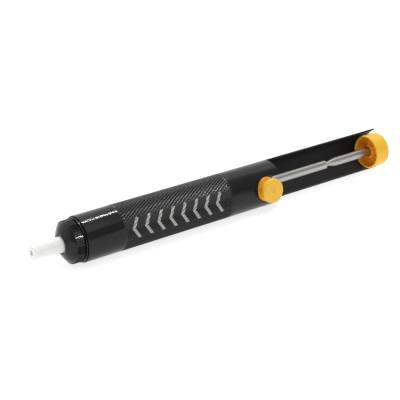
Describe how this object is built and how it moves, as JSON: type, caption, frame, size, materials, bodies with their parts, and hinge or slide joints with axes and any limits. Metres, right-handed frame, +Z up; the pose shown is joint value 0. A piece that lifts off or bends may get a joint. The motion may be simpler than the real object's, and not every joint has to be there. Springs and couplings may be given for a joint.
{
  "type": "desoldering pump",
  "caption": "Spring-driven desoldering pump: black metal tube with knurled grip and rear guard trough, white nozzle, side release button and plunger with thumb knob.",
  "frame": {"origin": "centre of the pump's box in plan, on the bench that it lies on", "axes": "+X along the tube from the nozzle to the thumb knob, -Y is the way the release button faces, +Z up from the bench"},
  "size_m": [0.1942, 0.0248, 0.0204],
  "materials": {
    "black_anodised_aluminium": "satin",
    "white_ptfe": "matte",
    "yellow_plastic": "semi-gloss",
    "bright_steel": "ground",
    "spring_steel": "drawn wire",
    "black_rubber": "matte",
    "natural_acetal": "machined",
    "black_acetal": "machined",
    "brass": "turned"
  },
  "bodies": {
    "barrel": {"barrel_tube": "black_anodised_aluminium", "nose_cap": "black_anodised_aluminium", "nozzle": "white_ptfe", "nozzle_seal_ring": "black_rubber", "nozzle_retaining_ring": "brass", "nose_cap_o_ring": "black_rubber", "spring_seat_washer": "bright_steel", "main_spring": "spring_steel", "buffer_ring": "black_rubber", "latch_block": "black_acetal", "block_screw_upper": "spring_steel", "block_screw_lower": "spring_steel", "guide_bush": "brass"},
    "plunger": {"plunger_shaft": "bright_steel", "cleaning_pin": "spring_steel", "piston": "natural_acetal", "piston_o_ring": "black_rubber", "piston_washer": "bright_steel", "piston_nut": "bright_steel", "thumb_knob": "yellow_plastic"},
    "button": {"release_button": "yellow_plastic", "latch_plate": "bright_steel", "button_pin": "bright_steel", "button_spring": "spring_steel"}
  },
  "joints": [
    {"name": "plunger_slide", "type": "slide", "parent": "barrel", "child": "plunger", "axis": [1, 0, 0], "range_m": [-0.04375, 0], "stiffness_N_per_m": 550, "springref_m": 0.015, "deforming": ["main_spring"]},
    {"name": "button_slide", "type": "slide", "parent": "barrel", "child": "button", "axis": [0, 1, 0], "range_m": [0, 0.0012], "stiffness_N_per_m": 500, "springref_m": -0.001, "deforming": ["button_spring"]}
  ]
}
